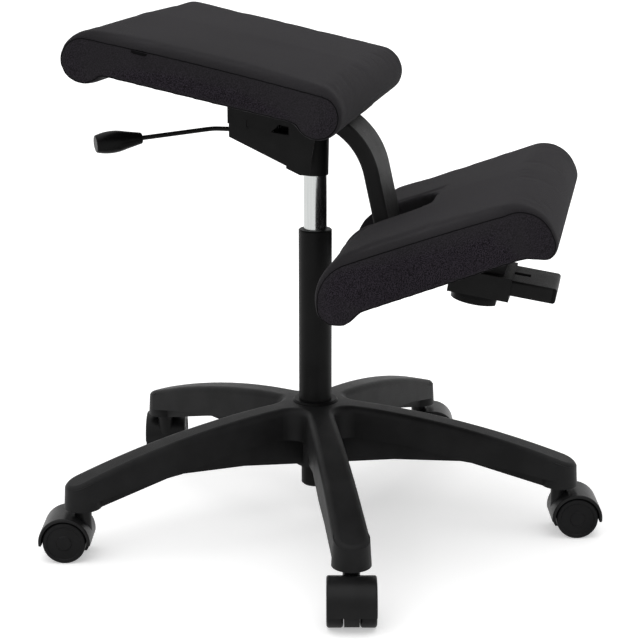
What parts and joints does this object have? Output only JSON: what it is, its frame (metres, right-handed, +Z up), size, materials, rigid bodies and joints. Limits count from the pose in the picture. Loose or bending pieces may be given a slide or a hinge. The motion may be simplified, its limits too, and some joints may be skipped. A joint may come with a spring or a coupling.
{
  "type": "kneeling chair",
  "caption": "Kneeling chair: a tilted seat and a slotted knee pad on a bent bar, on a gas column and a five-armed base with twin-wheel casters.",
  "frame": {"origin": "the point of the floor under the column's axis", "axes": "+Z up along the column, -Y the way the sitter faces, +X to the sitter's left"},
  "size_m": [0.6608, 0.6488, 0.6168],
  "materials": {
    "base_plastic": "fine grained black",
    "trim_plastic": "satin black",
    "column_paint": "satin black",
    "cylinder_chrome": "polished",
    "frame_paint": "textured black powder coat",
    "race_steel": "machined",
    "lever_steel": "satin black",
    "grip_plastic": "smooth black",
    "buffer_rubber": "moulded",
    "board_wood": "raw plywood",
    "cover_fabric": "woven near-black",
    "hood_plastic": "satin black",
    "wheel_plastic": "satin black"
  },
  "bodies": {
    "base": {"five_star_base": "base_plastic", "hub_collar": "trim_plastic", "column_tube": "column_paint", "guide_bush": "trim_plastic", "race_lower": "race_steel", "race_balls": "race_steel", "caster_stems": "race_steel"},
    "swivel_rod": {"piston_rod": "race_steel", "piston": "trim_plastic", "race_upper": "race_steel", "spring_buffer": "buffer_rubber", "rod_clip": "race_steel"},
    "seat_frame": {"gas_cylinder": "cylinder_chrome", "column_socket": "frame_paint", "mechanism_housing": "frame_paint", "seat_plate": "frame_paint", "bar_packer": "frame_paint", "seat_board": "board_wood", "seat_cushion": "cover_fabric", "seat_bolts": "race_steel", "curved_bar": "frame_paint", "rail_end_plug": "trim_plastic", "lever_bracket": "frame_paint", "lever_pivot_pin": "race_steel"},
    "release_pin": {"release_pin": "race_steel"},
    "lever": {"lever_rod": "lever_steel", "lever_grip": "grip_plastic"},
    "knee_carriage": {"carriage_sleeve": "frame_paint", "carriage_knuckle": "trim_plastic", "carriage_bracket": "frame_paint", "knee_plate": "frame_paint", "knee_board": "board_wood", "knee_cushion": "cover_fabric", "knee_bolts": "race_steel"},
    "lock": {"lock_cap": "grip_plastic", "brake_shoe": "race_steel"},
    "caster_1": {"caster_hood_1": "hood_plastic", "caster_axle_1": "race_steel"},
    "wheel_left_1": {"caster_wheel_left_1": "wheel_plastic"},
    "wheel_right_1": {"caster_wheel_right_1": "wheel_plastic"},
    "caster_2": {"caster_hood_2": "hood_plastic", "caster_axle_2": "race_steel"},
    "wheel_left_2": {"caster_wheel_left_2": "wheel_plastic"},
    "wheel_right_2": {"caster_wheel_right_2": "wheel_plastic"},
    "caster_3": {"caster_hood_3": "hood_plastic", "caster_axle_3": "race_steel"},
    "wheel_left_3": {"caster_wheel_left_3": "wheel_plastic"},
    "wheel_right_3": {"caster_wheel_right_3": "wheel_plastic"},
    "caster_4": {"caster_hood_4": "hood_plastic", "caster_axle_4": "race_steel"},
    "wheel_left_4": {"caster_wheel_left_4": "wheel_plastic"},
    "wheel_right_4": {"caster_wheel_right_4": "wheel_plastic"},
    "caster_5": {"caster_hood_5": "hood_plastic", "caster_axle_5": "race_steel"},
    "wheel_left_5": {"caster_wheel_left_5": "wheel_plastic"},
    "wheel_right_5": {"caster_wheel_right_5": "wheel_plastic"}
  },
  "joints": [
    {"name": "seat_swivel", "type": "hinge", "parent": "base", "child": "swivel_rod", "pos_m": [0, 0, 0.1], "axis": [0, 0, 1], "continuous": true},
    {"name": "seat_height", "type": "slide", "parent": "swivel_rod", "child": "seat_frame", "axis": [0, 0, 1], "range_m": [-0.06, 0.07]},
    {"name": "lever_lift", "type": "hinge", "parent": "seat_frame", "child": "lever", "pos_m": [0, 0.05, 0.4812], "axis": [1, 0, 0], "range_deg": [0, 4.5], "stiffness_Nm_per_rad": 2, "springref_deg": -2.86},
    {"name": "pin_press", "type": "slide", "parent": "seat_frame", "child": "release_pin", "axis": [0, 0, -1], "range_m": [0, 0.0042]},
    {"name": "knee_slide", "type": "slide", "parent": "seat_frame", "child": "knee_carriage", "axis": [0, 0.989, 0.1478], "range_m": [0, 0.04]},
    {"name": "lock_pull", "type": "slide", "parent": "knee_carriage", "child": "lock", "axis": [0, 0.1478, -0.989], "range_m": [0, 0.003], "stiffness_N_per_m": 2000, "springref_m": -0.002},
    {"name": "caster_swivel_1", "type": "hinge", "parent": "base", "child": "caster_1", "pos_m": [-0.28396, -0.09678, 0.05], "axis": [0, 0, 1], "continuous": true},
    {"name": "wheel_spin_left_1", "type": "hinge", "parent": "caster_1", "child": "wheel_left_1", "pos_m": [-0.30387, -0.10076, 0.025], "axis": [0.196, -0.9806, 0], "continuous": true},
    {"name": "wheel_spin_right_1", "type": "hinge", "parent": "caster_1", "child": "wheel_right_1", "pos_m": [-0.30387, -0.10076, 0.025], "axis": [0.196, -0.9806, 0], "continuous": true},
    {"name": "caster_swivel_2", "type": "hinge", "parent": "base", "child": "caster_2", "pos_m": [0.00429, -0.29997, 0.05], "axis": [0, 0, 1], "continuous": true},
    {"name": "wheel_spin_left_2", "type": "hinge", "parent": "caster_2", "child": "wheel_left_2", "pos_m": [0.00827, -0.31988, 0.025], "axis": [0.9806, 0.196, 0], "continuous": true},
    {"name": "wheel_spin_right_2", "type": "hinge", "parent": "caster_2", "child": "wheel_right_2", "pos_m": [0.00827, -0.31988, 0.025], "axis": [0.9806, 0.196, 0], "continuous": true},
    {"name": "caster_swivel_3", "type": "hinge", "parent": "base", "child": "caster_3", "pos_m": [0.28661, -0.08861, 0.05], "axis": [0, 0, 1], "continuous": true},
    {"name": "wheel_spin_left_3", "type": "hinge", "parent": "caster_3", "child": "wheel_left_3", "pos_m": [0.29059, -0.10852, 0.025], "axis": [0.9806, 0.196, 0], "continuous": true},
    {"name": "wheel_spin_right_3", "type": "hinge", "parent": "caster_3", "child": "wheel_right_3", "pos_m": [0.29059, -0.10852, 0.025], "axis": [0.9806, 0.196, 0], "continuous": true},
    {"name": "caster_swivel_4", "type": "hinge", "parent": "base", "child": "caster_4", "pos_m": [0.17284, 0.2452, 0.05], "axis": [0, 0, 1], "continuous": true},
    {"name": "wheel_spin_left_4", "type": "hinge", "parent": "caster_4", "child": "wheel_left_4", "pos_m": [0.19275, 0.24918, 0.025], "axis": [-0.196, 0.9806, 0], "continuous": true},
    {"name": "wheel_spin_right_4", "type": "hinge", "parent": "caster_4", "child": "wheel_right_4", "pos_m": [0.19275, 0.24918, 0.025], "axis": [-0.196, 0.9806, 0], "continuous": true},
    {"name": "caster_swivel_5", "type": "hinge", "parent": "base", "child": "caster_5", "pos_m": [-0.17979, 0.24016, 0.05], "axis": [0, 0, 1], "continuous": true},
    {"name": "wheel_spin_left_5", "type": "hinge", "parent": "caster_5", "child": "wheel_left_5", "pos_m": [-0.18377, 0.26006, 0.025], "axis": [-0.9806, -0.196, 0], "continuous": true},
    {"name": "wheel_spin_right_5", "type": "hinge", "parent": "caster_5", "child": "wheel_right_5", "pos_m": [-0.18377, 0.26006, 0.025], "axis": [-0.9806, -0.196, 0], "continuous": true}
  ],
  "couplings": [
    {"joint": "pin_press", "follows": "lever_lift", "m_per_rad": 0.053}
  ]
}
